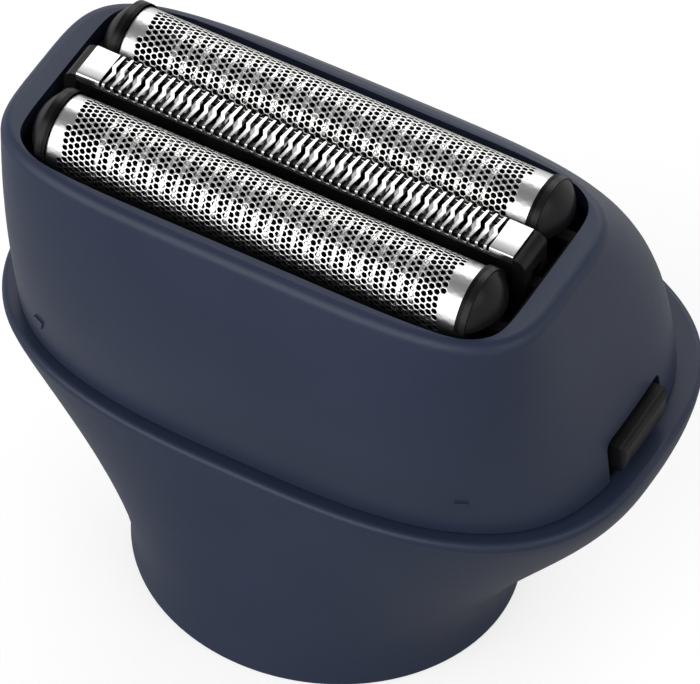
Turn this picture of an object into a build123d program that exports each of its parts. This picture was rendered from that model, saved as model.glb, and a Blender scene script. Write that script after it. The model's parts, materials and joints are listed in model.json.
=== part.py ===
from build123d import *
import os
from math import cos, pi, radians, sin

# A clip-on foil shaver head. Millimetres, origin at the centre of the neck's bottom face,
# +X along the foils, +Y to the rear, +Z up.

# Points on each oval section
oval_point_count = 48

# Sections in each loft
base_sections = 8
base_bore_sections = 5
frame_sections = 5
frame_bore_sections = 4

# Base housing: an oval neck that flares to a wide rim
neck_length = 35.3
neck_width = 32.5
neck_height = 2.7
neck_edge_radius = 0.3
rim_height = 25.4
rim_end_ledge = 2.0
rim_front_ledge = 1.2
rim_rear_ledge = 2.8
rim_band = 0.8
rim_edge_radius = 0.5
rim_squareness = 2.84
flare_length_power = 1.81
flare_length_fullness = 1.76
flare_depth_power = 1.36
flare_depth_fullness = 1.15
flare_squareness_power = 3.5
base_end_wall = 3.0
base_front_wall = 1.6
base_rear_wall = 2.8

# Coupling to the handle
socket_diameter = 26.4
socket_depth = 9.0
socket_floor = 2.0
drive_hole_diameter = 11.0
key_count = 3
key_width = 3.2
key_depth = 1.2
key_height = 3.0
key_turn = 18.0

# Foil frame: the upper cover
seam_gap = 0.4
frame_height = 26.2
frame_end_band = 2.5
frame_front_band = 1.5
frame_rear_band = 0.75
frame_end_taper = 2.85
frame_front_taper = -0.92
frame_rear_taper = 14.25
frame_foot_squareness = 3.0
frame_top_squareness = 4.25
frame_length_power = 0.91
frame_rear_power = 1.7
frame_front_bulge = 1.1
frame_end_wall = 2.0
frame_front_wall = 1.2
frame_rear_wall = 1.4
frame_top_plate = 1.8
frame_edge_radius = 1.0
frame_corner_ease = 1.2
opening_squareness = 7.0
mark_width = 1.2
mark_height = 1.5
mark_rise = 0.18
mark_root = 0.5
mark_end_inset = 8.0
mark_lift = 4.5

# Cutter block
block_middle = -3.7
foil_spacing = 11.54
foil_length = 39.0
foil_radius = 3.41
foil_sheet = 0.3
foil_rise = 3.0
foil_leg = 2.5
foil_hole = 1.3
foil_hole_pitch = 2.1
foil_hole_step = 24.0
foil_hole_rows = 6
foil_plain_end = 1.3
carrier_depth = 3.2
carrier_rail = 0.6
carrier_rail_drop = 0.6
foil_cap_thickness = 1.5
foil_cap_lip = 0.25
foil_cap_edge_radius = 0.7
slit_overhang = 1.35
slit_width = 3.75
slit_rise = 2.5
slit_lip = 0.9
slit_plain_end = 1.9
slit_pitch = 0.81
slit_gap = 0.44
slit_end_gap = 0.54
slit_strip = 0.3
slit_shoulder_radius = 0.24
slit_jog = 0.32
slit_jog_reach = 0.28
slit_wall = 0.5
slit_cap_thickness = 1.2
slit_cap_drop = 0.3
slit_cap_edge_radius = 1.0
float_travel = 1.5

# Cassette frame
cassette_recess = 1.6
cassette_height = 5.8
cassette_gap = 0.25
cassette_end_wall = 0.6
cassette_side_wall = 0.55
cassette_ring = 1.8
cassette_ring_squareness = 4.5
cassette_ring_inset = 0.3
cassette_corner_length = 4.5
cassette_corner_width = 4.65
cassette_well_end_gap = 1.8
cassette_well_side_gap = 0.53
unit_gap = 0.28
guide_width = 1.2
guide_reach = 0.4
guide_gap = 0.2
groove_floor = 0.5
stop_gap = 0.3
cassette_rest_width = 8.0
cassette_rest_height = 1.2
cassette_rest_overlap = 0.6

# Inner blades and their holders
shave_gap = 0.15
blade_end_gap = 4.0
blade_core_width = 3.2
blade_core_rise = 0.8
fin_thickness = 0.35
fin_pitch = 1.25
slit_blade_end_gap = 2.85
comb_pitch = 1.4
comb_slot = 0.6
comb_depth = 1.5
holder_block_height = 3.3
holder_block_drop = 3.8
holder_neck_height = 1.5
foil_holder_width = 4.4
foil_holder_neck = 4.0
slit_holder_width = 3.8
slit_holder_neck = 1.7

# Drive
deck_thickness = 1.5
deck_lip_height = 2.2
deck_lip_wall = 1.2
deck_lip_gap = 0.2
deck_flange_inset = 0.3
rail_front = -9.5
rail_rear = 5.5
rail_height = 5.2
rail_length = 26.0
rail_stem = 1.4
rail_head_width = 3.0
rail_head_height = 1.2
slide_gap = 0.3
carriage_length = 24.0
carriage_plate = 2.4
carriage_skirt = 1.0
carriage_lip = 0.6
post_radius = 1.0
post_gap = 0.15
post_engagement = 1.2
post_shoulder_radius = 1.75
blade_spring_length = 7.0
blade_spring_radius = 1.45
spring_wire = 0.4
blade_spring_turns = 6
pivot_drop = 4.4
pivot_pin_diameter = 2.0
pivot_pin_gap = 0.05
pivot_pin_chamfer = 0.2
pivot_ear_thickness = 1.6
pivot_ear_width = 5.0
pivot_ear_gap = 0.5
lever_width = 5.0
lever_web = 2.0
lever_boss_radius = 2.4
finger_radius = 1.2
finger_roof = 0.6
finger_width = 3.2
finger_gap = 0.1
fork_length = 6.4
fork_height = 4.5
fork_slot = 2.6
fork_slot_depth = 3.2
fork_clearance = 1.0
lever_window_gap = 1.1

# Deck screws and their bosses
screw_diameter = 1.8
screw_gap = 0.05
screw_reach = 7.0
screw_head_diameter = 3.8
screw_head_height = 1.2
screw_head_edge = 0.4
screw_recess_length = 2.3
screw_recess_width = 0.4
screw_recess_depth = 0.6
screw_spread = 23.0
screw_front = -5.5
screw_rear = 11.5
boss_diameter = 4.8

# Release buttons
button_length = 8.0
button_height = 2.9
button_lift = 0.9
button_proud = 1.05
button_travel = 1.5
button_edge_radius = 0.6
button_cap_depth = 4.5
button_stem_width = 5.0
button_stem_length = 4.7
button_stem_height = 3.3
button_guide = 1.2
button_guide_length = 5.5
button_guide_height = 4.1
notch_gap = 0.7
notch_corner = 0.8
hook_width = 4.0
hook_arm = 1.2
hook_nose = 1.3
hook_lift = 1.6
hook_height = 1.0
hook_gap = 0.25
button_spring_length = 3.7
button_spring_radius = 1.2
button_spring_turns = 3
spring_stop = 1.2

# Lengths and widths that follow from the foils
slit_length = foil_length + 2 * slit_overhang
blade_length = foil_length - 2 * blade_end_gap
slit_blade_length = slit_length - 2 * slit_blade_end_gap
unit_half_length = slit_length / 2 + slit_cap_thickness + unit_gap
unit_half_width = foil_spacing / 2 + foil_radius + foil_cap_lip + unit_gap
cassette_half_length = unit_half_length + cassette_end_wall
cassette_half_width = unit_half_width + cassette_side_wall
cassette_side_run = foil_length - 2 * cassette_corner_length
cassette_end_run = 2 * (cassette_half_width + cassette_gap - cassette_corner_width)
cassette_well_length = slit_blade_length + 2 * cassette_well_end_gap
cassette_well_width = foil_spacing + foil_holder_width + 2 * cassette_well_side_gap
opening_length = 2 * (cassette_half_length + cassette_gap)
opening_width = 2 * (cassette_half_width + cassette_gap)
frame_top_length = opening_length + 2 * frame_end_band
frame_top_front = opening_width / 2 - block_middle + frame_front_band
frame_top_rear = opening_width / 2 + block_middle + frame_rear_band
frame_foot_length = frame_top_length + 2 * frame_end_taper
frame_foot_front = frame_top_front + frame_front_taper
frame_foot_rear = frame_top_rear + frame_rear_taper
rim_length = frame_foot_length + 2 * rim_end_ledge
rim_front = frame_foot_front + rim_front_ledge
rim_rear = frame_foot_rear + rim_rear_ledge

# Heights and places that follow from those sizes
cavity_floor = socket_depth + socket_floor
band_foot = rim_height - rim_band
deck_bottom = rim_height - deck_thickness
frame_foot = rim_height + seam_gap
frame_top = frame_foot + frame_height
frame_ceiling = frame_top - frame_top_plate
rim_middle = (frame_foot_rear - frame_foot_front) / 2
foil_axis = frame_top + foil_rise - foil_radius
slit_top = frame_top + slit_rise
carrier_bottom = foil_axis - carrier_depth
cassette_top = frame_top - cassette_recess
cassette_bottom = cassette_top - cassette_height
guide_foot = carrier_bottom + groove_floor
groove_top = cassette_top + float_travel + stop_gap
holder_bottom = carrier_bottom - holder_block_drop
holder_top = holder_bottom + holder_block_height
blade_foot = holder_top + holder_neck_height
post_top = holder_bottom + post_engagement
post_socket_depth = post_engagement + float_travel + stop_gap
shoulder_top = holder_bottom - blade_spring_length
rail_top = rim_height + rail_height
carriage_bottom = rail_top + slide_gap
carriage_top = carriage_bottom + carriage_plate
finger_axis = carriage_top - finger_roof - slide_gap - finger_radius
pivot_height = deck_bottom - pivot_drop
fork_bottom = cavity_floor + fork_clearance
button_bottom = frame_foot + button_lift
button_top = button_bottom + button_height
foil_rows = {"front": block_middle - foil_spacing / 2, "rear": block_middle + foil_spacing / 2}

os.makedirs("parts", exist_ok=True)


def save(piece, name):
    piece.label = name
    export_step(piece, f"parts/{name}.step")


def oval_points(half_length, front, rear, squareness):
    middle = (front + rear) / 2
    half_width = (rear - front) / 2
    points = []
    for step in range(oval_point_count):
        turn = 2 * pi * step / oval_point_count
        reach = (abs(cos(turn)) ** squareness + abs(sin(turn)) ** squareness) ** (-1 / squareness)
        points.append((half_length * reach * cos(turn), middle + half_width * reach * sin(turn)))
    return points


def oval_face(section, height):
    with BuildSketch(Plane.XY.offset(height)) as face:
        with BuildLine():
            Spline(*oval_points(*section), periodic=True)
        make_face()
    return face.sketch


def inset(section, end, front, rear, ease=0.0):
    half_length, front_edge, rear_edge, squareness = section
    return half_length - end, front_edge + front, rear_edge - rear, squareness + ease


def flare(share, power, fullness):
    return share**power * (1 + fullness * (1 - share))


def base_section(height):
    share = max(0.0, (height - neck_height) / (band_foot - neck_height))
    share = min(1.0, share)
    along = flare(share, flare_length_power, flare_length_fullness)
    across = flare(share, flare_depth_power, flare_depth_fullness)
    half_length = neck_length / 2 + (rim_length - neck_length) / 2 * along
    front = neck_width / 2 + (rim_front - neck_width / 2) * across
    rear = neck_width / 2 + (rim_rear - neck_width / 2) * across
    return half_length, -front, rear, 2 + (rim_squareness - 2) * share**flare_squareness_power


def frame_section(height):
    share = (height - frame_foot) / frame_height
    half_length = frame_foot_length / 2
    half_length -= (frame_foot_length - frame_top_length) / 2 * max(0.0, share) ** frame_length_power
    front = frame_foot_front + (frame_top_front - frame_foot_front) * share
    front += frame_front_bulge * 4 * share * (1 - share)
    rear = frame_foot_rear - (frame_foot_rear - frame_top_rear) * max(0.0, share) ** frame_rear_power
    squareness = frame_foot_squareness + (frame_top_squareness - frame_foot_squareness) * share
    return half_length, -front, rear, squareness


def frame_bore(height):
    ease = frame_corner_ease * (height - frame_foot) / frame_height
    return inset(frame_section(height), frame_end_wall, frame_front_wall, frame_rear_wall, ease)


def base_bore(height):
    return inset(base_section(height), base_end_wall, base_front_wall, base_rear_wall)


def spread(low, high, count):
    return [low + (high - low) * step / (count - 1) for step in range(count)]


def loft_ovals(heights, section_at, mode=Mode.ADD):
    faces = [oval_face(section_at(height), height) for height in heights]
    loft(faces, mode=mode)


opening = (
    opening_length / 2,
    block_middle - opening_width / 2,
    block_middle + opening_width / 2,
    opening_squareness,
)
foot_bore = frame_bore(frame_foot)
lip_top_bore = frame_bore(rim_height + deck_lip_height)
tight_bore = (lip_top_bore[0], foot_bore[1], lip_top_bore[2], frame_foot_squareness)
lip_outside = inset(tight_bore, deck_lip_gap, deck_lip_gap, deck_lip_gap)
lip_inside = inset(lip_outside, deck_lip_wall, deck_lip_wall, deck_lip_wall)
flange_edge = inset(frame_section(frame_foot), deck_flange_inset, deck_flange_inset, deck_flange_inset)
notch_width = button_length + 2 * notch_gap
screw_places = [(x * screw_spread / 2, y) for x in (-1, 1) for y in (screw_front, screw_rear)]

# Base housing, with the socket, the drive hole and four screw bosses
with BuildPart() as base_housing:
    loft_ovals([0.0] + spread(neck_height, band_foot, base_sections), base_section)
    extrude(oval_face(base_section(band_foot), band_foot), amount=rim_band)
    fillet(base_housing.edges().group_by(Axis.Z)[-1], rim_edge_radius)
    fillet(base_housing.edges().group_by(Axis.Z)[0], neck_edge_radius)
    bore_heights = spread(cavity_floor, band_foot, base_bore_sections) + [rim_height]
    loft_ovals(bore_heights, base_bore, Mode.SUBTRACT)
    for x, y in screw_places:
        with BuildSketch(Plane.XY.offset(cavity_floor - socket_floor / 2)):
            with Locations((x, y)):
                Circle(boss_diameter / 2)
        extrude(amount=deck_bottom - cavity_floor + socket_floor / 2)
    with Locations((0, 0, 0)):
        Cylinder(
            socket_diameter / 2,
            socket_depth,
            align=(Align.CENTER, Align.CENTER, Align.MIN),
            mode=Mode.SUBTRACT,
        )
    with Locations((0, 0, socket_depth)):
        Cylinder(
            drive_hole_diameter / 2,
            socket_floor,
            align=(Align.CENTER, Align.CENTER, Align.MIN),
            mode=Mode.SUBTRACT,
        )
    with PolarLocations(socket_diameter / 2, key_count, start_angle=90):
        Box(
            2 * key_depth,
            key_width,
            key_height + key_width,
            align=(Align.CENTER, Align.CENTER, Align.MIN),
            mode=Mode.SUBTRACT,
        )
    with BuildSketch(Plane.XY.offset(key_height)):
        for turn in range(key_count):
            with BuildLine():
                CenterArc((0, 0), socket_diameter / 2, 90 + turn * 360 / key_count, key_turn)
            trace(line_width=2 * key_depth)
    extrude(amount=key_width, mode=Mode.SUBTRACT)
    with Locations([(x, y, deck_bottom) for x, y in screw_places]):
        Hole(screw_diameter / 2 + screw_gap, depth=screw_reach)
save(base_housing.part, "base_housing")

# Foil frame: a shell with the cutter opening, button notches, hook pockets and alignment marks
with BuildPart() as foil_frame:
    loft_ovals(spread(frame_foot, frame_top, frame_sections), frame_section)
    fillet(foil_frame.edges().group_by(Axis.Z)[-1], frame_edge_radius)
    loft_ovals(spread(frame_foot, frame_ceiling, frame_bore_sections), frame_bore, Mode.SUBTRACT)
    extrude(oval_face(opening, frame_ceiling), amount=frame_top_plate, mode=Mode.SUBTRACT)
    with BuildSketch(Plane.YZ):
        notch_top = button_top + notch_gap
        with Locations((rim_middle, frame_foot)):
            RectangleRounded(notch_width, 2 * (notch_top - frame_foot), notch_corner)
    extrude(amount=frame_foot_length, both=True, mode=Mode.SUBTRACT)
    rest_reach = frame_bore(cassette_bottom)[0] + frame_end_wall / 2
    rest_start = cassette_half_length - cassette_rest_overlap
    for side in (-1, 1):
        with Locations((side * (rest_start + rest_reach) / 2, block_middle, cassette_bottom)):
            Box(
                rest_reach - rest_start,
                cassette_rest_width,
                cassette_rest_height,
                align=(Align.CENTER, Align.CENTER, Align.MAX),
            )
    pocket_foot = button_top + hook_lift - hook_gap
    pocket_reach = frame_section(pocket_foot)[0] - frame_end_wall + hook_nose / 2
    with Locations((0, rim_middle, pocket_foot)):
        Box(
            2 * pocket_reach,
            hook_width + 2 * hook_gap,
            hook_height + 2 * hook_gap,
            align=(Align.CENTER, Align.CENTER, Align.MIN),
            mode=Mode.SUBTRACT,
        )
    mark_place = frame_foot_length / 2 - mark_end_inset
    for side in (-1, 1):
        sight = Axis((side * mark_place, -frame_foot_length, frame_foot + mark_lift), (0, 1, 0))
        spot, outward = foil_frame.part.find_intersection_points(sight)[0]
        sideways = Vector(0, 0, 1).cross(outward)
        with BuildSketch(Plane(origin=spot, x_dir=sideways, z_dir=outward).offset(-mark_root)):
            with BuildLine():
                Polyline(
                    (-mark_width / 2, mark_height / 2),
                    (mark_width / 2, mark_height / 2),
                    (0, -mark_height / 2),
                    close=True,
                )
            make_face()
        extrude(amount=mark_rise + mark_root)
save(foil_frame.part, "foil_frame")

# Black chassis deck: plate, locating lip, seam flange, slide rails, lever ears and button guides
button_face = frame_section((button_bottom + button_top) / 2)[0] + button_proud
cap_inside = button_face - button_cap_depth
stem_inside = cap_inside - button_stem_length
spring_seat = stem_inside - button_spring_length
guide_end = cap_inside - button_travel - slide_gap
stem_bottom = rim_height + slide_gap
spring_axis = stem_bottom + button_stem_height / 2
ear_inside = lever_width / 2 + pivot_ear_gap

with BuildPart() as base_deck:
    extrude(oval_face(lip_outside, deck_bottom), amount=deck_thickness + deck_lip_height)
    extrude(oval_face(flange_edge, rim_height), amount=seam_gap)
    extrude(oval_face(lip_inside, rim_height), amount=deck_lip_height, mode=Mode.SUBTRACT)
    with Locations((0, rim_middle, frame_foot)):
        Box(
            frame_foot_length,
            notch_width,
            deck_lip_height,
            align=(Align.CENTER, Align.CENTER, Align.MIN),
            mode=Mode.SUBTRACT,
        )
    with BuildSketch(Plane.YZ):
        with Locations((rail_front, rim_height), (rail_rear, rim_height)):
            Rectangle(rail_stem, rail_height, align=(Align.CENTER, Align.MIN))
        with Locations((rail_front, rail_top), (rail_rear, rail_top)):
            Rectangle(rail_head_width, rail_head_height, align=(Align.CENTER, Align.MAX))
    extrude(amount=rail_length / 2, both=True)
    with BuildSketch(Plane.XY.offset(deck_bottom)):
        Rectangle(lever_web + 2 * lever_window_gap, finger_width + 2 * pivot_ear_gap)
    extrude(amount=deck_thickness, mode=Mode.SUBTRACT)
    for side in (-1, 1):
        with BuildSketch(Plane.XZ.offset(side * (ear_inside + pivot_ear_thickness / 2))):
            with Locations((0, deck_bottom)):
                Rectangle(pivot_ear_width, deck_bottom - pivot_height, align=(Align.CENTER, Align.MAX))
            with Locations((0, pivot_height)):
                Circle(pivot_ear_width / 2)
                Circle(pivot_pin_diameter / 2 + pivot_pin_gap, mode=Mode.SUBTRACT)
        extrude(amount=pivot_ear_thickness / 2, both=True)
        with BuildSketch(Plane.XY.offset(rim_height)):
            guide_spread = button_stem_width + 2 * slide_gap + button_guide
            with Locations((side * guide_end, rim_middle)):
                with GridLocations(0, guide_spread, 1, 2):
                    Rectangle(
                        button_guide_length,
                        button_guide,
                        align=(Align.MAX if side > 0 else Align.MIN, Align.CENTER),
                    )
            with Locations((side * spring_seat, rim_middle)):
                Rectangle(
                    spring_stop,
                    button_stem_width,
                    align=(Align.MAX if side > 0 else Align.MIN, Align.CENTER),
                )
        extrude(amount=button_guide_height)
    with Locations([(x, y, rim_height) for x, y in screw_places]):
        Hole(screw_diameter / 2 + screw_gap, depth=deck_thickness)
save(base_deck.part, "base_deck")

# Four pan-head screws that hold the deck on the bosses
with BuildPart() as deck_screws:
    with BuildSketch(Plane.XY.offset(rim_height)):
        with Locations(*screw_places):
            Circle(screw_head_diameter / 2)
    extrude(amount=screw_head_height)
    fillet(deck_screws.edges().group_by(Axis.Z)[-1], screw_head_edge)
    with BuildSketch(Plane.XY.offset(rim_height)):
        with Locations(*screw_places):
            Circle(screw_diameter / 2)
    extrude(amount=-(deck_thickness + screw_reach - 2 * screw_head_height))
    with BuildSketch(Plane.XY.offset(rim_height + screw_head_height)):
        with Locations(*screw_places):
            Rectangle(screw_recess_length, screw_recess_width)
            Rectangle(screw_recess_width, screw_recess_length)
    extrude(amount=-screw_recess_depth, mode=Mode.SUBTRACT)
save(deck_screws.part, "deck_screws")

# Rocking lever: a fork below for the handle's eccentric pin, a round finger above in the carriage
with BuildPart() as drive_lever:
    with BuildSketch(Plane.XZ):
        with Locations((0, pivot_height)):
            Circle(lever_boss_radius)
            web_drop = pivot_height - fork_bottom - fork_height / 2
            Rectangle(lever_web, web_drop, align=(Align.CENTER, Align.MAX))
        with Locations((0, fork_bottom)):
            Rectangle(fork_length, fork_height, align=(Align.CENTER, Align.MIN))
            Rectangle(fork_slot, fork_slot_depth, align=(Align.CENTER, Align.MIN), mode=Mode.SUBTRACT)
    extrude(amount=lever_width / 2, both=True)
    with BuildSketch(Plane.XZ):
        with Locations((0, pivot_height)):
            Rectangle(lever_web, finger_axis - pivot_height, align=(Align.CENTER, Align.MIN))
        with Locations((0, finger_axis)):
            Circle(finger_radius)
    extrude(amount=finger_width / 2, both=True)
    with BuildSketch(Plane.XZ):
        with Locations((0, pivot_height)):
            Circle(pivot_pin_diameter / 2 + pivot_pin_gap)
    extrude(amount=lever_width, both=True, mode=Mode.SUBTRACT)
save(drive_lever.part, "drive_lever")

with BuildPart() as lever_pivot_pin:
    with BuildSketch(Plane.XZ):
        with Locations((0, pivot_height)):
            Circle(pivot_pin_diameter / 2)
    extrude(amount=ear_inside + pivot_ear_thickness, both=True)
    chamfer(lever_pivot_pin.edges(), pivot_pin_chamfer)
save(lever_pivot_pin.part, "lever_pivot_pin")

# Oscillating carriage: a plate on the two rails, hooked under their heads, with three drive posts
post_places = [(0, foil_rows["front"]), (0, block_middle), (0, foil_rows["rear"])]
skirt_reach = rail_head_width / 2 + slide_gap + carriage_skirt
hook_top = rail_top - rail_head_height - slide_gap

with BuildPart() as drive_carriage:
    with BuildSketch(Plane.YZ):
        front_edge = rail_front - skirt_reach
        rear_edge = rail_rear + skirt_reach
        with Locations((front_edge, carriage_bottom)):
            Rectangle(rear_edge - front_edge, carriage_plate, align=(Align.MIN, Align.MIN))
        for edge, near in ((front_edge, Align.MIN), (rear_edge, Align.MAX)):
            with Locations((edge, carriage_bottom)):
                Rectangle(
                    carriage_skirt,
                    carriage_bottom - hook_top + carriage_lip,
                    align=(near, Align.MAX),
                )
            with Locations((edge, hook_top)):
                Rectangle(
                    skirt_reach - rail_stem / 2 - slide_gap,
                    carriage_lip,
                    align=(near, Align.MAX),
                )
    extrude(amount=carriage_length / 2, both=True)
    with BuildSketch(Plane.XY.offset(carriage_bottom)):
        Rectangle(2 * (finger_radius + finger_gap), finger_width + 2 * slide_gap)
    extrude(amount=carriage_plate - finger_roof, mode=Mode.SUBTRACT)
    with BuildSketch(Plane.XY.offset(carriage_top)):
        with Locations(*post_places):
            Circle(post_shoulder_radius)
    extrude(amount=shoulder_top - carriage_top)
    with BuildSketch(Plane.XY.offset(shoulder_top)):
        with Locations(*post_places):
            Circle(post_radius)
    extrude(amount=post_top - shoulder_top)
save(drive_carriage.part, "drive_carriage")


def coil_spring(foot, axis, length, radius, turns):
    with BuildPart() as spring:
        with BuildLine() as coil:
            height = length - spring_wire
            start = Vector(*foot) + Vector(*axis) * (spring_wire / 2)
            Helix(height / turns, height, radius, center=start, direction=axis)
        with BuildSketch(Plane(origin=coil.line @ 0, z_dir=coil.line % 0)):
            Circle(spring_wire / 2)
        sweep()
    return spring.part


for name, (x, y) in zip(("front", "slit", "rear"), post_places):
    foot = (x, y, shoulder_top)
    spring = coil_spring(foot, (0, 0, 1), blade_spring_length, blade_spring_radius, blade_spring_turns)
    save(spring, f"{name}_blade_spring")

# Release buttons at the two ends, each with a hook for the frame and a spring behind its stem
for name, side in (("left", -1), ("right", 1)):
    near = Align.MAX if side > 0 else Align.MIN
    far = Align.MIN if side > 0 else Align.MAX
    with BuildPart() as release_button:
        with Locations((side * button_face, rim_middle, button_bottom)):
            Box(button_cap_depth, button_length, button_height, align=(near, Align.CENTER, Align.MIN))
        outside = release_button.faces().sort_by(Axis.X)[-1 if side > 0 else 0]
        fillet(outside.edges(), button_edge_radius)
        with Locations((side * cap_inside, rim_middle, stem_bottom)):
            Box(
                button_stem_length,
                button_stem_width,
                button_stem_height,
                align=(near, Align.CENTER, Align.MIN),
            )
        with BuildSketch(Plane.XZ.offset(-rim_middle)):
            hook_foot = stem_bottom + button_stem_height / 2
            nose_foot = button_top + hook_lift
            with Locations((side * cap_inside, hook_foot)):
                Rectangle(hook_arm, nose_foot + hook_height - hook_foot, align=(near, Align.MIN))
            with Locations((side * cap_inside, nose_foot)):
                Rectangle(hook_nose, hook_height, align=(far, Align.MIN))
        extrude(amount=hook_width / 2, both=True)
    save(release_button.part, f"{name}_release_button")
    foot = (side * spring_seat, rim_middle, spring_axis)
    spring = coil_spring(foot, (side, 0, 0), button_spring_length, button_spring_radius, button_spring_turns)
    save(spring, f"{name}_button_spring")

# Cassette frame: a ring in the foil frame with walls and guide ribs for the floating cutters
ring = (
    cassette_half_length - cassette_ring_inset,
    block_middle - cassette_half_width,
    block_middle + cassette_half_width,
    cassette_ring_squareness,
)
foil_cap_outside = foil_length / 2 + foil_cap_thickness
slit_cap_outside = slit_length / 2 + slit_cap_thickness
cap_ends = {
    foil_rows["front"]: foil_cap_outside,
    block_middle: slit_cap_outside,
    foil_rows["rear"]: foil_cap_outside,
}

with BuildPart() as cassette_frame:
    wall_outline = inset(opening, cassette_gap, cassette_gap, cassette_gap)
    extrude(oval_face(wall_outline, cassette_bottom), amount=cassette_height)
    with BuildSketch(Plane.XY.offset(cassette_bottom)):
        with Locations((0, block_middle)):
            Rectangle(2 * unit_half_length, 2 * unit_half_width)
            with GridLocations(opening_length + cassette_side_run, opening_width + cassette_end_run, 2, 2):
                Rectangle(opening_length, opening_width)
    extrude(amount=cassette_height, mode=Mode.SUBTRACT)
    extrude(oval_face(ring, cassette_bottom), amount=cassette_ring)
    with BuildSketch(Plane.XY.offset(cassette_bottom)):
        with Locations((0, block_middle)):
            RectangleRounded(cassette_well_length, cassette_well_width, cassette_ring)
    extrude(amount=cassette_ring, mode=Mode.SUBTRACT)
    for across, cap_end in cap_ends.items():
        rib_length = unit_half_length + cassette_end_wall / 2 - cap_end + guide_reach
        for side in (-1, 1):
            with BuildSketch(Plane.XY.offset(guide_foot + stop_gap)):
                with Locations((side * (cap_end - guide_reach), across)):
                    near = Align.MIN if side > 0 else Align.MAX
                    Rectangle(rib_length, guide_width, align=(near, Align.CENTER))
            extrude(amount=cassette_top - guide_foot - stop_gap)
save(cassette_frame.part, "cassette_frame")


def arch_face(across, radius, drop, along=0.0):
    with BuildSketch(Plane.YZ.offset(along)) as face:
        with BuildLine():
            spring_front = (across - radius, foil_axis)
            spring_rear = (across + radius, foil_axis)
            foot_front = (across - radius, foil_axis - drop)
            foot_rear = (across + radius, foil_axis - drop)
            ThreePointArc(spring_front, (across, foil_axis + radius), spring_rear)
            Polyline(spring_rear, foot_rear, foot_front, spring_front)
        make_face()
    return face.sketch


def cut_guide_grooves(across):
    for side in (-1, 1):
        with Locations((side * cap_ends[across], across, guide_foot)):
            Box(
                2 * (guide_reach + guide_gap),
                guide_width + 2 * guide_gap,
                groove_top - guide_foot,
                align=(Align.CENTER, Align.CENTER, Align.MIN),
                mode=Mode.SUBTRACT,
            )


# Perforated foils, their carriers, inner blades and holders, front and rear
hole_columns = int((foil_length - 2 * foil_plain_end - foil_hole) / foil_hole_pitch)
fin_count = int((blade_length - fin_thickness) / fin_pitch) + 1
fin_radius = foil_radius - foil_sheet - shave_gap
fin_drop = carrier_rail_drop - stop_gap

for name, across in foil_rows.items():
    with BuildPart() as foil:
        extrude(arch_face(across, foil_radius, foil_leg), amount=foil_length / 2, both=True)
        extrude(
            arch_face(across, foil_radius - foil_sheet, foil_leg),
            amount=foil_length / 2,
            both=True,
            mode=Mode.SUBTRACT,
        )
        for row in range(foil_hole_rows):
            lean = radians(foil_hole_step * (row - (foil_hole_rows - 1) / 2))
            shift = foil_hole_pitch / 4 * (1 if row % 2 else -1)
            spot = (shift, across + foil_radius * sin(lean), foil_axis + foil_radius * cos(lean))
            with BuildSketch(Plane(origin=spot, x_dir=(1, 0, 0), z_dir=(0, sin(lean), cos(lean)))):
                with GridLocations(foil_hole_pitch, 0, hole_columns, 1):
                    RegularPolygon(foil_hole / 2, 6)
            extrude(amount=2 * foil_sheet, both=True, mode=Mode.SUBTRACT)
    save(foil.part, f"{name}_foil")

    with BuildPart() as foil_carrier:
        for side in (-1, 1):
            extrude(
                arch_face(across, foil_radius + foil_cap_lip, carrier_depth, side * foil_length / 2),
                amount=side * foil_cap_thickness,
            )
        ends = foil_carrier.faces().filter_by(Axis.X).sort_by(Axis.X)
        fillet(ends[0].edges() + ends[-1].edges(), foil_cap_edge_radius)
        rail_middle = foil_radius - foil_sheet - carrier_rail / 2
        with BuildSketch(Plane.YZ):
            with Locations((across - rail_middle, carrier_bottom), (across + rail_middle, carrier_bottom)):
                Rectangle(carrier_rail, carrier_depth - carrier_rail_drop, align=(Align.CENTER, Align.MIN))
        extrude(amount=foil_length / 2, both=True)
        cut_guide_grooves(across)
    save(foil_carrier.part, f"{name}_foil_carrier")

    with BuildPart() as inner_blade:
        with BuildSketch(Plane.YZ):
            with Locations((across, blade_foot)):
                Rectangle(
                    blade_core_width,
                    foil_axis + blade_core_rise - blade_foot,
                    align=(Align.CENTER, Align.MIN),
                )
        extrude(amount=blade_length / 2, both=True)
        for fin in range(fin_count):
            place = (fin - (fin_count - 1) / 2) * fin_pitch
            extrude(arch_face(across, fin_radius, fin_drop, place), amount=fin_thickness / 2, both=True)
    save(inner_blade.part, f"{name}_inner_blade")

# Slit cutter: a thin steel channel with a row of kinked slots
slot_count = round((slit_length - 2 * slit_plain_end) / slit_pitch)
slot_reach = slit_width / 2 + slit_lip
slot_half = slit_gap / 2
slot_outline = [
    (-slit_end_gap / 2, -slot_reach),
    (slit_end_gap / 2, -slot_reach),
    (slit_jog / 2 + slot_half, -slit_jog_reach),
    (-slit_jog / 2 + slot_half, slit_jog_reach),
    (slit_end_gap / 2, slot_reach),
    (-slit_end_gap / 2, slot_reach),
    (-slit_jog / 2 - slot_half, slit_jog_reach),
    (slit_jog / 2 - slot_half, -slit_jog_reach),
]

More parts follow.
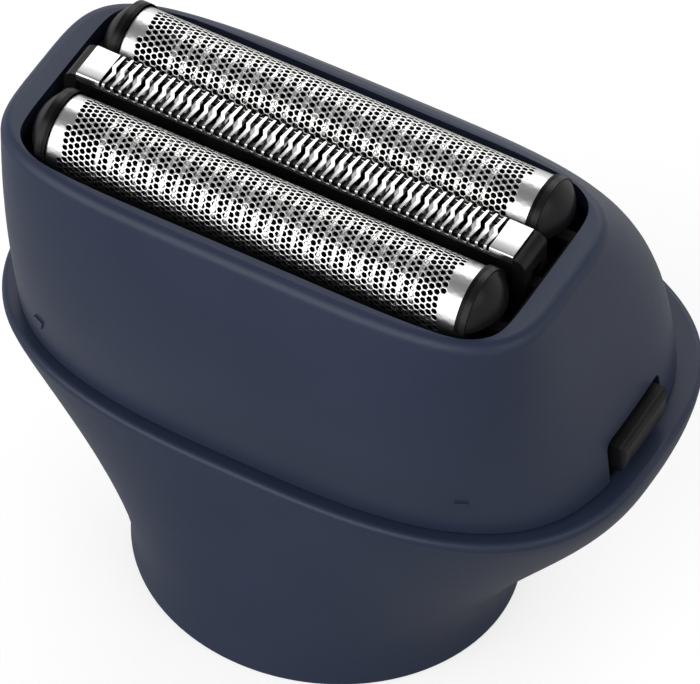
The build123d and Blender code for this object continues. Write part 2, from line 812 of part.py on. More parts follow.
with BuildPart() as slit_cutter:
    with BuildSketch(Plane.YZ):
        with Locations((block_middle, slit_top)):
            Rectangle(slit_width, slit_lip, align=(Align.CENTER, Align.MAX))
        with Locations((block_middle, slit_top - foil_sheet)):
            Rectangle(
                slit_width - 2 * foil_sheet,
                slit_lip,
                align=(Align.CENTER, Align.MAX),
                mode=Mode.SUBTRACT,
            )
    extrude(amount=slit_length / 2, both=True)
    shoulders = slit_cutter.edges().filter_by(Axis.X).group_by(Axis.Z)[-1]
    fillet(shoulders, slit_shoulder_radius)
    with BuildSketch(Plane.XY.offset(slit_top - slit_lip + slit_strip)):
        with Locations((0, block_middle)):
            with GridLocations(slit_pitch, 0, slot_count, 1):
                Polygon(*slot_outline, align=None)
    extrude(amount=slit_lip, mode=Mode.SUBTRACT)
save(slit_cutter.part, "slit_cutter")

slit_wall_outside = slit_width / 2 - foil_sheet
with BuildPart() as slit_carrier:
    with BuildSketch(Plane.YZ):
        with Locations((block_middle, carrier_bottom)):
            with GridLocations(2 * slit_wall_outside - slit_wall, 0, 2, 1):
                Rectangle(slit_wall, slit_top - foil_sheet - carrier_bottom, align=(Align.CENTER, Align.MIN))
    extrude(amount=slit_length / 2, both=True)
    for side in (-1, 1):
        with Locations((side * (slit_length + slit_cap_thickness) / 2, block_middle, carrier_bottom)):
            Box(
                slit_cap_thickness,
                slit_width,
                slit_top - slit_cap_drop - carrier_bottom,
                align=(Align.CENTER, Align.CENTER, Align.MIN),
            )
    ends = slit_carrier.faces().filter_by(Axis.X).sort_by(Axis.X)
    top_edges = [ends[0].edges().sort_by(Axis.Z)[-1], ends[-1].edges().sort_by(Axis.Z)[-1]]
    fillet(top_edges, slit_cap_edge_radius)
    cut_guide_grooves(block_middle)
save(slit_carrier.part, "slit_carrier")

with BuildPart() as slit_inner_blade:
    comb_top = slit_top - foil_sheet - shave_gap
    with BuildSketch(Plane.YZ):
        with Locations((block_middle, blade_foot)):
            Rectangle(
                2 * (slit_wall_outside - slit_wall - shave_gap),
                comb_top - blade_foot,
                align=(Align.CENTER, Align.MIN),
            )
    extrude(amount=slit_blade_length / 2, both=True)
    with BuildSketch(Plane.XY.offset(comb_top)):
        with Locations((0, block_middle)):
            with GridLocations(comb_pitch, 0, int(slit_blade_length / comb_pitch), 1):
                Rectangle(comb_slot, slit_width)
    extrude(amount=-comb_depth, mode=Mode.SUBTRACT)
save(slit_inner_blade.part, "slit_inner_blade")

# Plastic holders under the inner blades, each with a socket for its drive post
holders = {
    "front": (foil_rows["front"], blade_length, foil_holder_width, foil_holder_neck),
    "rear": (foil_rows["rear"], blade_length, foil_holder_width, foil_holder_neck),
    "slit": (block_middle, slit_blade_length, slit_holder_width, slit_holder_neck),
}
for name, (across, length, width, neck) in holders.items():
    with BuildPart() as blade_holder:
        with BuildSketch(Plane.YZ):
            with Locations((across, holder_bottom)):
                Rectangle(width, holder_block_height, align=(Align.CENTER, Align.MIN))
            with Locations((across, holder_top)):
                Rectangle(neck, holder_neck_height, align=(Align.CENTER, Align.MIN))
        extrude(amount=length / 2, both=True)
        with BuildSketch(Plane.XY.offset(holder_bottom)):
            with Locations((0, across)):
                Circle(post_radius + post_gap)
        extrude(amount=post_socket_depth, mode=Mode.SUBTRACT)
    save(blade_holder.part, f"{name}_blade_holder")
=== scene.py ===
import json
import math

import bmesh
import bpy
from mathutils import Matrix, Vector


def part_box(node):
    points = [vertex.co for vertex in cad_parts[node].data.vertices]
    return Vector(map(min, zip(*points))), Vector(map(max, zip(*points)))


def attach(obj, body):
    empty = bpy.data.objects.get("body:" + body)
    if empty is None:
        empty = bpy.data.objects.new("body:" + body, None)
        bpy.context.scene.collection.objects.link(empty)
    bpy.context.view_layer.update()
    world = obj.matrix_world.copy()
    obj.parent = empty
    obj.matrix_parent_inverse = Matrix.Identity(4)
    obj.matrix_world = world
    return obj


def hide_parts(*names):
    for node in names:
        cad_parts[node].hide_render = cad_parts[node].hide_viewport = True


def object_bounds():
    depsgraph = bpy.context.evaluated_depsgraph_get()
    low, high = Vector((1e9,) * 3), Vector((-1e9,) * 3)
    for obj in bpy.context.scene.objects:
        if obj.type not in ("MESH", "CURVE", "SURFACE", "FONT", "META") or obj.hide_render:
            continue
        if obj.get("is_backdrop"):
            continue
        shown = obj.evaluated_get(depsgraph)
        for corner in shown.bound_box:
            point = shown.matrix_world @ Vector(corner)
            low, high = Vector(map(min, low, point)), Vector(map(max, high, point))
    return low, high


mm = 0.001

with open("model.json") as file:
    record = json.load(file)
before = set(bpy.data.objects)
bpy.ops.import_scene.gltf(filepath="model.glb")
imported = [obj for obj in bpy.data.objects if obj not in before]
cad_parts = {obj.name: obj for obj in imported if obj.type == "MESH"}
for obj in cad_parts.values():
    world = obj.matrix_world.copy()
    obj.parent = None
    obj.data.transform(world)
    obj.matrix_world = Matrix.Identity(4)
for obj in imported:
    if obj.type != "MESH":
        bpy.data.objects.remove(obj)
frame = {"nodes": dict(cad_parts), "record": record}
nodes = frame["nodes"]
cadLow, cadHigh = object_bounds()
print("frame loaded, %d nodes" % len(nodes))


# small helpers

def deselectAll():
    if bpy.context.object and bpy.context.object.mode != "OBJECT":
        bpy.ops.object.mode_set(mode="OBJECT")
    bpy.ops.object.select_all(action="DESELECT")


def makeActive(obj):
    deselectAll()
    obj.select_set(True)
    bpy.context.view_layer.objects.active = obj


def editAll(obj):
    makeActive(obj)
    bpy.ops.object.mode_set(mode="EDIT")
    bpy.ops.mesh.select_all(action="SELECT")


def useModifier(obj, kind, **values):
    makeActive(obj)
    modifier = obj.modifiers.new(kind.title(), kind)
    for key, value in values.items():
        setattr(modifier, key, value)
    bpy.ops.object.modifier_apply(modifier=modifier.name)


def arrayPiece(obj, count, step):
    useModifier(obj, "ARRAY", count=count, use_relative_offset=False, use_constant_offset=True,
                constant_offset_displace=step)


def pickEdges(piece, test):
    bm = bmesh.from_edit_mesh(piece.data)
    bpy.ops.mesh.select_all(action="DESELECT")
    bpy.ops.mesh.select_mode(type="EDGE")
    for edge in bm.edges:
        edge.select = test(edge.verts[0].co, edge.verts[1].co)
    bm.select_flush_mode()
    bmesh.update_edit_mesh(piece.data)


def moveSelected(step):
    bpy.ops.transform.translate(value=step)


def copyPiece(piece, step):
    makeActive(piece)
    bpy.ops.object.duplicate()
    copy = bpy.context.object
    editAll(copy)
    moveSelected(step)
    bpy.ops.object.mode_set(mode="OBJECT")
    return copy


def joinPieces(pieces, joinGap=None):
    makeActive(pieces[0])
    for piece in pieces[1:]:
        piece.select_set(True)
    bpy.ops.object.join()
    editAll(pieces[0])
    if joinGap:
        bpy.ops.mesh.remove_doubles(threshold=joinGap)
    bpy.ops.mesh.normals_make_consistent(inside=False)
    bpy.ops.object.mode_set(mode="OBJECT")
    return pieces[0]


def finishPiece(piece, smooth, slot):
    makeActive(piece)
    bpy.ops.object.shade_smooth_by_angle(angle=math.radians(smooth))
    piece.data.materials.append(finishes[slot])


def placePiece(piece, name, body, slot, *replaced):
    piece.name = name
    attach(piece, body)
    if replaced:
        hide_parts(*replaced)
    print("%s: %d faces" % (name, len(piece.data.polygons)))


# shader nodes

white = (1, 1, 1, 1)


def newMaterial(name):
    material = bpy.data.materials.new(name)
    material.use_nodes = True
    tree = material.node_tree
    return material, tree, tree.nodes["Principled BSDF"]


def addNode(tree, kind, inputs=None, **values):
    node = tree.nodes.new(kind)
    for key, value in values.items():
        setattr(node, key, value)
    for key, value in (inputs or {}).items():
        node.inputs[key].default_value = value
    return node


def addMath(tree, operation, first, second):
    node = addNode(tree, "ShaderNodeMath", operation=operation)
    tree.links.new(first, node.inputs[0])
    tree.links.new(second, node.inputs[1])
    return node.outputs["Value"]


def addLength(tree, source):
    node = addNode(tree, "ShaderNodeVectorMath", operation="LENGTH")
    tree.links.new(source, node.inputs[0])
    return node.outputs["Value"]


def addPlace(tree, stretch, shift=(0, 0, 0)):
    place = addNode(tree, "ShaderNodeTexCoord")
    mapping = addNode(tree, "ShaderNodeMapping", {"Scale": stretch, "Location": shift})
    tree.links.new(place.outputs["Object"], mapping.inputs["Vector"])
    return mapping.outputs["Vector"]


def addNoise(tree, scale, detail=2.0, stretch=(1, 1, 1)):
    noise = addNode(tree, "ShaderNodeTexNoise", {"Scale": scale, "Detail": detail})
    tree.links.new(addPlace(tree, stretch), noise.inputs["Vector"])
    return noise.outputs["Fac"]


def addRamp(tree, source, span, lowColor, highColor):
    ramp = addNode(tree, "ShaderNodeValToRGB")
    for stop, position, color in zip(ramp.color_ramp.elements, span, (lowColor, highColor)):
        stop.position = position
        stop.color = color
    tree.links.new(source, ramp.inputs["Fac"])
    return ramp.outputs["Color"]


def addRange(tree, source, low, high):
    spread = addNode(tree, "ShaderNodeMapRange", {"To Min": low, "To Max": high})
    tree.links.new(source, spread.inputs["Value"])
    return spread.outputs["Result"]


def addShare(tree, source, start, end):
    share = addNode(tree, "ShaderNodeMapRange", {"From Min": start, "From Max": end})
    tree.links.new(source, share.inputs["Value"])
    return share.outputs["Result"]


def addBump(tree, source, shader, strength, distance):
    bump = addNode(tree, "ShaderNodeBump", {"Strength": strength, "Distance": distance})
    tree.links.new(source, bump.inputs["Height"])
    tree.links.new(bump.outputs["Normal"], shader.inputs["Normal"])


# navy shell: satin plastic with a fine mould grain

navy = {
    "dark": (0.020, 0.027, 0.053, 1),
    "light": (0.025, 0.033, 0.062, 1),
    "span": (0.3, 0.7),
    "cloud": 60,
    "grain": 4200,                 # spark-eroded, about 0.2 mm
    "grainDetail": 3.0,
    "roughLow": 0.30,
    "roughHigh": 0.42,
    "bump": 0.16,
    "depth": 0.03 * mm,
    "gloss": 0.22,
}


def navySatin():
    material, tree, shader = newMaterial("navySatin")
    grain = addNoise(tree, navy["grain"], navy["grainDetail"])
    color = addRamp(tree, addNoise(tree, navy["cloud"]), navy["span"], navy["dark"], navy["light"])
    rough = addRange(tree, grain, navy["roughLow"], navy["roughHigh"])
    tree.links.new(color, shader.inputs["Base Color"])
    tree.links.new(rough, shader.inputs["Roughness"])
    addBump(tree, grain, shader, navy["bump"], navy["depth"])
    shader.inputs["Specular IOR Level"].default_value = navy["gloss"]
    return material


# black plastic: polished with slow waves, or grained

black = {
    "deep": (0.0045, 0.0045, 0.0052, 1),
    "pale": (0.009, 0.009, 0.010, 1),
    "span": (0.3, 0.7),
}
polished = {"scale": 320, "detail": 1.0, "rough": (0.24, 0.34), "level": 0.16,
            "bump": 0.03, "depth": 0.05 * mm}
grained = {"scale": 2600, "detail": 2.0, "rough": (0.45, 0.65), "level": 0.12,
           "bump": 0.15, "depth": 0.03 * mm}


def blackPlastic(name, surface):
    material, tree, shader = newMaterial(name)
    relief = addNoise(tree, surface["scale"], surface["detail"])
    color = addRamp(tree, relief, black["span"], black["deep"], black["pale"])
    tree.links.new(color, shader.inputs["Base Color"])
    tree.links.new(addRange(tree, relief, *surface["rough"]), shader.inputs["Roughness"])
    addBump(tree, relief, shader, surface["bump"], surface["depth"])
    shader.inputs["Specular IOR Level"].default_value = surface["level"]
    return material


# steel: cutters brushed along X, and drawn spring wire

steel = {
    "bright": (0.68, 0.675, 0.665, 1),
    "grey": (0.59, 0.59, 0.585, 1),
}
brushed = {"scale": 2400, "stretch": (0.06, 1, 1), "span": (0.25, 0.75), "rough": (0.25, 0.33),
           "bump": 0.02, "depth": 0.01 * mm}
drawn = {"scale": 3000, "span": (0.2, 0.8), "rough": (0.25, 0.4)}


def cutterSteel():
    material, tree, shader = newMaterial("cutterSteel")
    streaks = addNoise(tree, brushed["scale"], stretch=brushed["stretch"])
    color = addRamp(tree, streaks, brushed["span"], steel["grey"], steel["bright"])
    tree.links.new(color, shader.inputs["Base Color"])
    tree.links.new(addRange(tree, streaks, *brushed["rough"]), shader.inputs["Roughness"])
    addBump(tree, streaks, shader, brushed["bump"], brushed["depth"])
    shader.inputs["Metallic"].default_value = 1.0
    return material


def wireSteel():
    material, tree, shader = newMaterial("wireSteel")
    dies = addNoise(tree, drawn["scale"])
    color = addRamp(tree, dies, drawn["span"], steel["grey"], steel["bright"])
    tree.links.new(color, shader.inputs["Base Color"])
    tree.links.new(addRange(tree, dies, *drawn["rough"]), shader.inputs["Roughness"])
    shader.inputs["Metallic"].default_value = 1.0
    return material


# inner blades: bright ground edges over steel bodies painted dark as the shade inside the cassette

blade = {
    "edge": (0.82, 0.81, 0.79, 1),
    # painted shade: the comb's edge is dark grey, for the shade between the slit bars
    "combEdgeShade": (0.22, 0.22, 0.22, 1),
    # painted shade: the blade bodies under the foil are darkened to nearly black
    "body": (0.030, 0.030, 0.032, 1),
    "groundDepth": 0.10 * mm,      # only the ground edge stays bright, the steel below it is painted dark as shade
    "roughEdge": 0.22,
    "roughBody": 0.55,
    "scratch": 3000,
    "stretch": (0.1, 1, 1),
    "bump": 0.05,
    "depth": 0.01 * mm,
}


def shadedBladeSteel(name, stretch, centre, reach, edgeColor):
    # bright where the distance from the centre line comes to its reach, painted dark as shade further in
    material, tree, shader = newMaterial(name)
    distance = addLength(tree, addPlace(tree, stretch, [-value for value in centre]))
    depth = blade["groundDepth"]
    edge = addShare(tree, distance, reach - depth, reach - depth / 2)
    tree.links.new(addRamp(tree, edge, (0, 1), blade["body"], edgeColor), shader.inputs["Base Color"])
    tree.links.new(addRange(tree, edge, blade["roughBody"], blade["roughEdge"]), shader.inputs["Roughness"])
    scratches = addNoise(tree, blade["scratch"], stretch=blade["stretch"])
    addBump(tree, scratches, shader, blade["bump"], blade["depth"])
    shader.inputs["Metallic"].default_value = 1.0
    return material


finishes = {
    "navy_shell": navySatin(),
    "black_gloss": blackPlastic("blackGloss", polished),
    "black_matte": blackPlastic("blackMatte", grained),
    "cutter_steel": cutterSteel(),
    "wire_steel": wireSteel(),
}


def dressNode(name, material):
    shape = nodes[name].data
    shape.materials.clear()
    shape.materials.append(material)


for part in frame["record"]["subparts"]:
    dressNode(part["node"], finishes[part["material_slot"]])
# the inner blades get steel with painted shade on their bodies
for side in ("front", "rear"):
    low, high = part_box(side + "_inner_blade")
    finRadius = (high[1] - low[1]) / 2
    axis = (0, (low[1] + high[1]) / 2, high[2] - finRadius)
    finShadedSteel = shadedBladeSteel(side + "ShadedBladeSteel", (0, 1, 1), axis, finRadius, blade["edge"])
    dressNode(side + "_inner_blade", finShadedSteel)
low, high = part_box("slit_inner_blade")
# the comb's edge and body carry painted shade
combShadedSteel = shadedBladeSteel("combShadedBladeSteel", (0, 0, 1), (0, 0, low[2]), high[2] - low[2], blade["combEdgeShade"])
dressNode("slit_inner_blade", combShadedSteel)
print("materials ready")


# perforated foils: one hexagon cell is arrayed flat, leaned, cut to size and rolled into an arch

foil = {
    "rowPitch": 0.56 * mm,         # hole to hole round the arch
    "columnPitch": 0.55 * mm,
    "hole": 0.43 * mm,             # across the flats
    "webEdge": 0.035 * mm,         # each web is rounded off towards its holes
    "webDrop": 0.022 * mm,
    "lean": 0.16,                  # columns slant, so a hair meets every row at another place
    "plainLeft": 1.30 * mm,
    "plainRight": 1.75 * mm,
    "plainFoot": 1.75 * mm,
    "spareColumns": 4,
    "spareRows": 4,
    "sheet": 0.07 * mm,
    "joinGap": 0.01 * mm,
    "radius": 3.41 * mm,
    "smooth": 55,
}


def drawCells():
    # two neighbouring cells, each a hexagon with a raised web round its hole
    pitch = foil["rowPitch"]
    deselectAll()
    bpy.ops.mesh.primitive_circle_add(vertices=6, radius=pitch / math.sqrt(3), fill_type="NGON",
                                      rotation=(0, 0, math.pi / 2))
    sheet = bpy.context.object
    bpy.ops.object.transform_apply(location=True, rotation=True, scale=True)
    editAll(sheet)
    bpy.ops.mesh.inset(thickness=(pitch - foil["hole"]) / 2 - foil["webEdge"])
    bpy.ops.mesh.inset(thickness=foil["webEdge"], depth=-foil["webDrop"])
    bpy.ops.mesh.select_all(action="SELECT")
    step = (pitch * math.sqrt(3) / 2, pitch / 2, 0)
    bpy.ops.mesh.duplicate_move(TRANSFORM_OT_translate={"value": step})
    bpy.ops.object.mode_set(mode="OBJECT")
    return sheet


def flatFoil(halfLength, halfSpan):
    pitch = foil["rowPitch"]
    cellStep = pitch * math.sqrt(3) / 2
    pairs = int(halfLength / foil["columnPitch"]) + foil["spareColumns"]
    rows = 2 * int(halfSpan / pitch) + foil["spareRows"]
    sheet = drawCells()
    arrayPiece(sheet, pairs, (2 * cellStep, 0, 0))
    arrayPiece(sheet, rows, (0, pitch, 0))
    editAll(sheet)
    bpy.ops.mesh.remove_doubles(threshold=foil["joinGap"])
    moveSelected((-(2 * pairs - 1) * cellStep / 2, -(rows - 0.5) * pitch / 2, 0))
    bpy.ops.transform.resize(value=(foil["columnPitch"] / cellStep, 1, 1), center_override=(0, 0, 0))
    bm = bmesh.from_edit_mesh(sheet.data)
    for vert in bm.verts:
        vert.co.x -= foil["lean"] * vert.co.y
    openHoles(sheet, halfLength, halfSpan)
    for axis, half in (((1, 0, 0), halfLength), ((0, 1, 0), halfSpan)):
        for side in (-1, 1):
            cut = [side * half * value for value in axis]
            outwards = [side * value for value in axis]
            bpy.ops.mesh.select_all(action="SELECT")
            bpy.ops.mesh.bisect(plane_co=cut, plane_no=outwards, clear_outer=True)
    bpy.ops.object.mode_set(mode="OBJECT")
    return sheet


def openHoles(sheet, halfLength, halfSpan):
    # the inner hexagons are the holes, except near the ends and the feet, which are left plain and level
    bm = bmesh.from_edit_mesh(sheet.data)
    bpy.ops.mesh.select_all(action="DESELECT")
    bpy.ops.mesh.select_mode(type="FACE")
    for face in bm.faces:
        middle = face.calc_center_median()
        along = -halfLength + foil["plainLeft"] < middle.x < halfLength - foil["plainRight"]
        across = abs(middle.y) < halfSpan - foil["plainFoot"]
        face.select = len(face.verts) == 6 and along and across
    bmesh.update_edit_mesh(sheet.data)
    bpy.ops.mesh.delete(type="ONLY_FACE")
    for face in bm.faces:
        if len(face.verts) == 6:
            for vert in face.verts:
                vert.co.z = 0


def makeFoil():
    low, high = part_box("front_foil")
    radius = foil["radius"]
    across = (low[1] + high[1]) / 2
    axisHeight = high[2] - radius
    quarter = math.pi / 2 * radius
    sheet = flatFoil(high[0], quarter + axisHeight - low[2])
    for vert in sheet.data.vertices:
        reach = vert.co.y
        side = 1 if reach > 0 else -1
        turn = min(abs(reach), quarter) / radius
        drop = max(0, abs(reach) - quarter)
        sunk = radius + vert.co.z
        vert.co.y = across + side * sunk * math.sin(turn)
        vert.co.z = axisHeight + sunk * math.cos(turn) - drop
    useModifier(sheet, "SOLIDIFY", thickness=foil["sheet"], offset=-1)
    finishPiece(sheet, foil["smooth"], "cutter_steel")
    return sheet


rearStep = (0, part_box("rear_foil")[0][1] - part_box("front_foil")[0][1], 0)
frontFoil = makeFoil()
rearFoil = copyPiece(frontFoil, rearStep)
placePiece(frontFoil, "frontPerforatedFoil", "front_cutter_unit", "cutter_steel", "front_foil")
placePiece(rearFoil, "rearPerforatedFoil", "rear_cutter_unit", "cutter_steel", "rear_foil")


# foil carriers: D-shaped ends with a domed hood, joined by two rails under the foil

carrier = {
    "archSteps": 72,
    "shank": 0.95 * mm,            # thickness of the D below the hood, clear of the guide ribs
    "rim": 0.40 * mm,
    "hoodReach": 2.65 * mm,
    "hoodFullness": 1.2,           # 1 is a round dome, 2 a straight cone
    "hoodFoot": 0.42 * mm,         # the hood stops this far above the arch's centre
    "hoodSteps": 10,
    "hoodTip": 0.6,                # the part of a step that is left flat at the tip
    "rail": 0.60 * mm,
    "railTop": -0.60 * mm,
    "corner": 0.06 * mm,
    "cornerSteps": 2,
    "smooth": 35,
}


def drawArch(across, axisHeight, radius, along, cutHeight):
    # half disc on a plane across X, cut off level below
    deselectAll()
    bpy.ops.mesh.primitive_circle_add(vertices=carrier["archSteps"], radius=radius, fill_type="NGON",
                                      location=(along, across, axisHeight), rotation=(0, math.pi / 2, 0))
    arch = bpy.context.object
    bpy.ops.object.transform_apply(location=True, rotation=True, scale=True)
    editAll(arch)
    bpy.ops.mesh.bisect(plane_co=(along, across, cutHeight), plane_no=(0, 0, -1), clear_outer=True)
    return arch


def pushOut(step, scale, pivot):
    bpy.ops.mesh.extrude_region_move(TRANSFORM_OT_translate={"value": (step, 0, 0)})
    bpy.ops.transform.resize(value=(1, scale, scale), center_override=pivot)


def drawHood(across, axisHeight, radius, side, start):
    foot = axisHeight + carrier["hoodFoot"]
    pivot = (0, across, foot)
    hood = drawArch(across, axisHeight, radius, side * start, foot)
    bpy.ops.mesh.select_all(action="SELECT")
    pushOut(side * carrier["rim"], 1, pivot)
    reach = carrier["hoodReach"] - carrier["rim"]
    fullness = carrier["hoodFullness"]
    before = 0, 1
    for step in range(1, carrier["hoodSteps"] + 1):
        turn = math.pi / 2 * step / (carrier["hoodSteps"] + carrier["hoodTip"])
        after = reach * math.sin(turn) ** fullness, math.cos(turn) ** fullness
        pushOut(side * (after[0] - before[0]), after[1] / before[1], pivot)
        before = after
    bpy.ops.object.mode_set(mode="OBJECT")
    return hood


def drawShank(across, axisHeight, radius, side, start, foot):
    shank = drawArch(across, axisHeight, radius, side * start, axisHeight)
    pickEdges(shank, lambda low, high: max(low.z, high.z) < axisHeight + carrier["corner"]
              and abs(low.y - high.y) > radius)
    bpy.ops.mesh.extrude_edges_move(TRANSFORM_OT_translate={"value": (0, 0, foot - axisHeight)})
    bpy.ops.mesh.select_all(action="SELECT")
    pushOut(side * carrier["shank"], 1, (0, across, axisHeight))
    bpy.ops.object.mode_set(mode="OBJECT")
    return shank


def drawRail(across, axisHeight, foot, halfLength):
    deselectAll()
    top = axisHeight + carrier["railTop"]
    bpy.ops.mesh.primitive_cube_add(size=1, location=(0, across, (foot + top) / 2))
    rail = bpy.context.object
    rail.scale = (2 * halfLength, carrier["rail"], top - foot)
    bpy.ops.object.transform_apply(location=True, rotation=True, scale=True)
    useModifier(rail, "BEVEL", width=carrier["corner"], segments=carrier["cornerSteps"])
    return rail


def makeCarrier():
    low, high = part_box("front_foil_carrier")
    across = (low[1] + high[1]) / 2
    radius = (high[1] - low[1]) / 2
    axisHeight = high[2] - radius
    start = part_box("front_foil")[1][0]
    pieces = []
    for side in (-1, 1):
        pieces.append(drawHood(across, axisHeight, radius, side, start))
        pieces.append(drawShank(across, axisHeight, radius, side, start, low[2]))
        railAcross = across + side * (foil["radius"] - foil["sheet"] - carrier["rail"])
        pieces.append(drawRail(railAcross, axisHeight, low[2], start))
    body = joinPieces(pieces)
    finishPiece(body, carrier["smooth"], "black_gloss")
    return body


frontCarrier = makeCarrier()
rearCarrier = copyPiece(frontCarrier, rearStep)
placePiece(frontCarrier, "frontDomedCarrier", "front_cutter_unit", "black_gloss", "front_foil_carrier")
placePiece(rearCarrier, "rearDomedCarrier", "rear_cutter_unit", "black_gloss", "rear_foil_carrier")


# slit cutter: one kinked bar is drawn out flat, arrayed, joined to plain ends and folded into a channel

slit = {
    "pitch": 0.81 * mm,
    "bars": 46,
    "middleWidth": 0.36 * mm,
    "tipWidth": 0.22 * mm,
    "rearLean": -0.15 * mm,        # sideways from the rear tip to the kink
    "kink": 0.32 * mm,
    "kinkHalf": 0.28 * mm,
    "shoulder": 0.24 * mm,
    "shoulderStops": (0.67, 0.33),
    "strip": 0.30 * mm,            # joins the bars at their feet
    "sheet": 0.13 * mm,
    "joinGap": 0.01 * mm,
    "smooth": 40,
}


def slitStations(flatHalf, shoulderEnd, slotEnd):
    # places across the cutter where a bar bends: distance from the middle, sideways shift, width
    rearShift = -slit["rearLean"] - slit["kink"] / 2
    tip = slit["tipWidth"]
    stations = [(slotEnd, rearShift, tip), (shoulderEnd, rearShift, tip)]
    for share in slit["shoulderStops"]:
        stations.append((flatHalf + (shoulderEnd - flatHalf) * share, rearShift, tip))
    stations.append((flatHalf, rearShift, tip))
    stations.append((slit["kinkHalf"], -slit["kink"] / 2, slit["middleWidth"]))
    frontHalf = [(-place, -shift, width) for place, shift, width in reversed(stations)]
    return stations + frontHalf


def drawStrip(width, start, end, shift):
    deselectAll()
    bpy.ops.mesh.primitive_plane_add(size=1, location=(0, 0, 0))
    strip = bpy.context.object
    editAll(strip)
    bpy.ops.transform.resize(value=(width, start - end, 1), center_override=(0, 0, 0))
    moveSelected((shift, (start + end) / 2, 0))
    return strip


def pickAcross(piece, place):
    pickEdges(piece, lambda low, high: abs(low.y - place) + abs(high.y - place) < slit["joinGap"])


def drawBar(stations, footEnd):
    place, shift, width = stations[0]
    bar = drawStrip(width, footEnd, place, shift)
    for before, after in zip(stations, stations[1:] + [(-footEnd, -shift, width)]):
        pickAcross(bar, before[0])
        step = (after[1] - before[1], after[0] - before[0], 0)
        bpy.ops.mesh.extrude_edges_move(TRANSFORM_OT_translate={"value": step})
        bpy.ops.transform.resize(value=(after[2] / before[2], 1, 1),
                                 center_override=(after[1], after[0], 0))
    for end in (-1, 1):
        for side in (-1, 1):
            middle = end * shift + side * width / 2
            pickEdges(bar, lambda low, high: min(low.y * end, high.y * end) > place - slit["joinGap"]
                      and abs(low.x - middle) + abs(high.x - middle) < slit["joinGap"])
            step = (side * slit["pitch"] / 2 - middle, 0, 0)
            bpy.ops.mesh.extrude_edges_move(TRANSFORM_OT_translate={"value": step})
    bpy.ops.object.mode_set(mode="OBJECT")
    return bar


def drawPlate(side, start, end, places):
    plate = drawStrip(end - start, places[0], places[1], side * (start + end) / 2)
    for before, after in zip(places[1:], places[2:]):
        pickAcross(plate, before)
        bpy.ops.mesh.extrude_edges_move(TRANSFORM_OT_translate={"value": (0, after - before, 0)})
    bpy.ops.object.mode_set(mode="OBJECT")
    return plate


def flatSlit(stations, footEnd, halfLength):
    bar = drawBar(stations, footEnd)
    arrayPiece(bar, slit["bars"], (slit["pitch"], 0, 0))
    editAll(bar)
    moveSelected((-(slit["bars"] - 1) * slit["pitch"] / 2, 0, 0))
    bpy.ops.object.mode_set(mode="OBJECT")
    plateStart = slit["bars"] * slit["pitch"] / 2 - slit["joinGap"] / 2
    places = [footEnd] + [place for place, shift, width in stations] + [-footEnd]
    plates = [drawPlate(side, plateStart, halfLength, places) for side in (-1, 1)]
    return joinPieces([bar] + plates, slit["joinGap"])


def makeSlitCutter():
    low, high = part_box("slit_cutter")
    half = (high[1] - low[1]) / 2
    middle = (high[1] + low[1]) / 2
    shoulder = slit["shoulder"]
    flatHalf = half - shoulder
    shoulderEnd = flatHalf + math.pi / 2 * shoulder
    footEnd = shoulderEnd + high[2] - low[2] - shoulder
    stations = slitStations(flatHalf, shoulderEnd, footEnd - slit["strip"])
    cutter = flatSlit(stations, footEnd, high[0])
    for vert in cutter.data.vertices:
        reach = abs(vert.co.y)
        side = 1 if vert.co.y > 0 else -1
        turn = min(max(reach - flatHalf, 0) / shoulder, math.pi / 2)
        drop = max(0, reach - shoulderEnd)
        vert.co.y = middle + side * (min(reach, flatHalf) + shoulder * math.sin(turn))
        vert.co.z = high[2] - shoulder * (1 - math.cos(turn)) - drop
    if cutter.data.polygons[0].normal.z < 0:
        cutter.data.flip_normals()
    useModifier(cutter, "SOLIDIFY", thickness=slit["sheet"], offset=-1)
    finishPiece(cutter, slit["smooth"], "cutter_steel")
    return cutter


slitBars = makeSlitCutter()
placePiece(slitBars, "slitCutterBars", "slit_cutter_unit", "cutter_steel", "slit_cutter")


# floor and sky: a light tent, pale all round with a dark gap overhead

studio = {
    "floorSize": 4.0,
    "floorColor": (0.40, 0.40, 0.40, 1),
    "floorRough": 0.8,
    "floorGlow": 0.66,             # only in the picture and in reflections, the shadow stays
    "shadowFadeNear": 0.08,              # reflections see it fade towards the object, a painted shadow round it
    "shadowFadeFar": 0.40,
    "worldLight": 0.90,
    "skySpan": (0.35, 0.85),       # pale up to the first height, dark from the second
    "overhead": (0.26, 0.26, 0.27, 1),
}


def seenRays(tree, paintedShadowFade=None):
    # one for what the camera, metal and glass see, zero for light that falls on the object
    path = addNode(tree, "ShaderNodeLightPath")
    mirrored = addMath(tree, "MAXIMUM", path.outputs["Is Glossy Ray"], path.outputs["Is Transmission Ray"])
    # reflections get a painted shadow near the object
    if paintedShadowFade:
        mirrored = addMath(tree, "MULTIPLY", mirrored, paintedShadowFade)
    return addMath(tree, "MAXIMUM", path.outputs["Is Camera Ray"], mirrored)


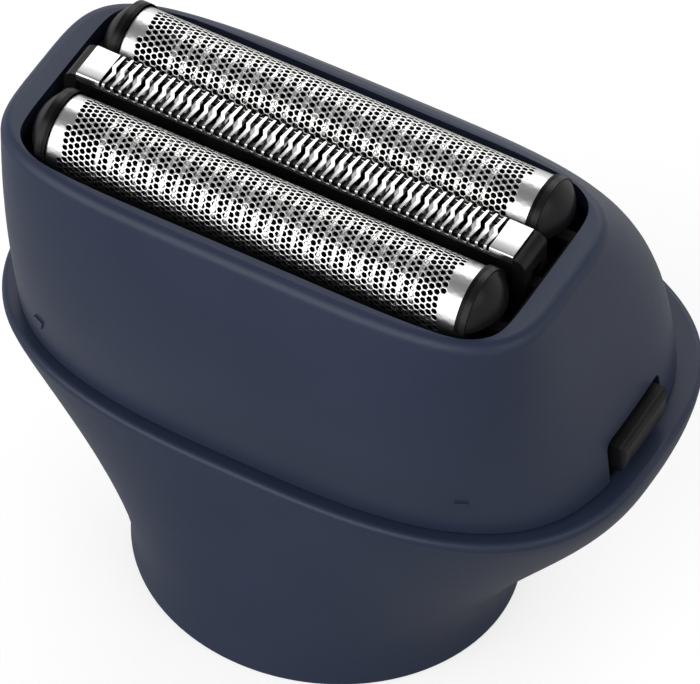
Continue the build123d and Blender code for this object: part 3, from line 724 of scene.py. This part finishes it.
def addFloor():
    deselectAll()
    bpy.ops.mesh.primitive_plane_add(size=studio["floorSize"], location=(0, 0, cadLow[2]))
    floor = bpy.context.object
    floor.name = "floor"
    material, tree, shader = newMaterial("floorPaper")
    shader.inputs["Base Color"].default_value = studio["floorColor"]
    shader.inputs["Roughness"].default_value = studio["floorRough"]
    shader.inputs["Specular IOR Level"].default_value = 0
    shader.inputs["Emission Color"].default_value = white
    distance = addLength(tree, addPlace(tree, (1, 1, 1)))
    # painted shadow: the floor's glow in reflections falls off towards the object
    paintedShadowFade = addShare(tree, distance, studio["shadowFadeNear"], studio["shadowFadeFar"])
    glow = addRange(tree, seenRays(tree, paintedShadowFade), 0, studio["floorGlow"])
    tree.links.new(glow, shader.inputs["Emission Strength"])
    floor.data.materials.append(material)
    floor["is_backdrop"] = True


def addWorld():
    world = bpy.data.worlds.new("studioWorld")
    bpy.context.scene.world = world
    world.use_nodes = True
    tree = world.node_tree
    light = tree.nodes["Background"]
    direction = addNode(tree, "ShaderNodeTexCoord")
    height = addNode(tree, "ShaderNodeSeparateXYZ")
    tree.links.new(direction.outputs["Generated"], height.inputs["Vector"])
    sky = addRamp(tree, height.outputs["Z"], studio["skySpan"], white, studio["overhead"])
    tree.links.new(sky, light.inputs["Color"])
    tree.links.new(addRange(tree, seenRays(tree), studio["worldLight"], 1), light.inputs["Strength"])


# lamps: soft panels in front and behind, and a small fill for the right end

lampTarget = (0, 0, 0.03)
lamps = {
    "frontPanel": {"place": (-0.22, -0.58, 0.34), "size": (0.75, 0.68), "power": 3.6},
    "rearPanel": {"place": (-0.18, 0.52, 0.46), "size": (0.70, 0.42), "power": 2.0},
    "rightFill": {"place": (0.50, -0.10, 0.48), "size": (0.45, 0.45), "power": 0.8},
}


def addLamp(name, panel):
    lamp = bpy.data.lights.new(name, "AREA")
    lamp.shape = "RECTANGLE"
    lamp.size, lamp.size_y = panel["size"]
    lamp.energy = panel["power"]
    holder = bpy.data.objects.new(name, lamp)
    bpy.context.collection.objects.link(holder)
    holder.location = panel["place"]
    aim = Vector(lampTarget) - Vector(panel["place"])
    holder.rotation_euler = aim.to_track_quat("-Z", "Y").to_euler()


# camera: the photograph's view

photoCamera = {
    "azimuth": 29.65,
    "elevation": 49.04,
    "distance": 700 * mm,
    "right": 2.046 * mm,
    "up": 17.358 * mm,
    "lens": 407.69,
    "sensor": 36.0,
    "clipStart": 10 * mm,
}


def addCamera():
    azimuth = math.radians(photoCamera["azimuth"])
    elevation = math.radians(photoCamera["elevation"])
    back = Vector((math.sin(azimuth) * math.cos(elevation),
                   -math.cos(azimuth) * math.cos(elevation), math.sin(elevation)))
    right = Vector((math.cos(azimuth), math.sin(azimuth), 0))
    up = back.cross(right)
    lens = bpy.data.cameras.new("photoCamera")
    lens.lens = photoCamera["lens"]
    lens.sensor_width = photoCamera["sensor"]
    lens.sensor_fit = "HORIZONTAL"
    lens.clip_start = photoCamera["clipStart"]
    holder = bpy.data.objects.new("photoCamera", lens)
    bpy.context.collection.objects.link(holder)
    turn = Matrix((right, up, back)).transposed()
    place = back * photoCamera["distance"] + right * photoCamera["right"] + up * photoCamera["up"]
    holder.matrix_world = Matrix.Translation(place) @ turn.to_4x4()
    bpy.context.scene.camera = holder


addFloor()
addWorld()
for name, panel in lamps.items():
    addLamp(name, panel)
addCamera()
bpy.context.scene.view_settings.view_transform = "Standard"
print("floor, light and camera ready")

low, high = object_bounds()
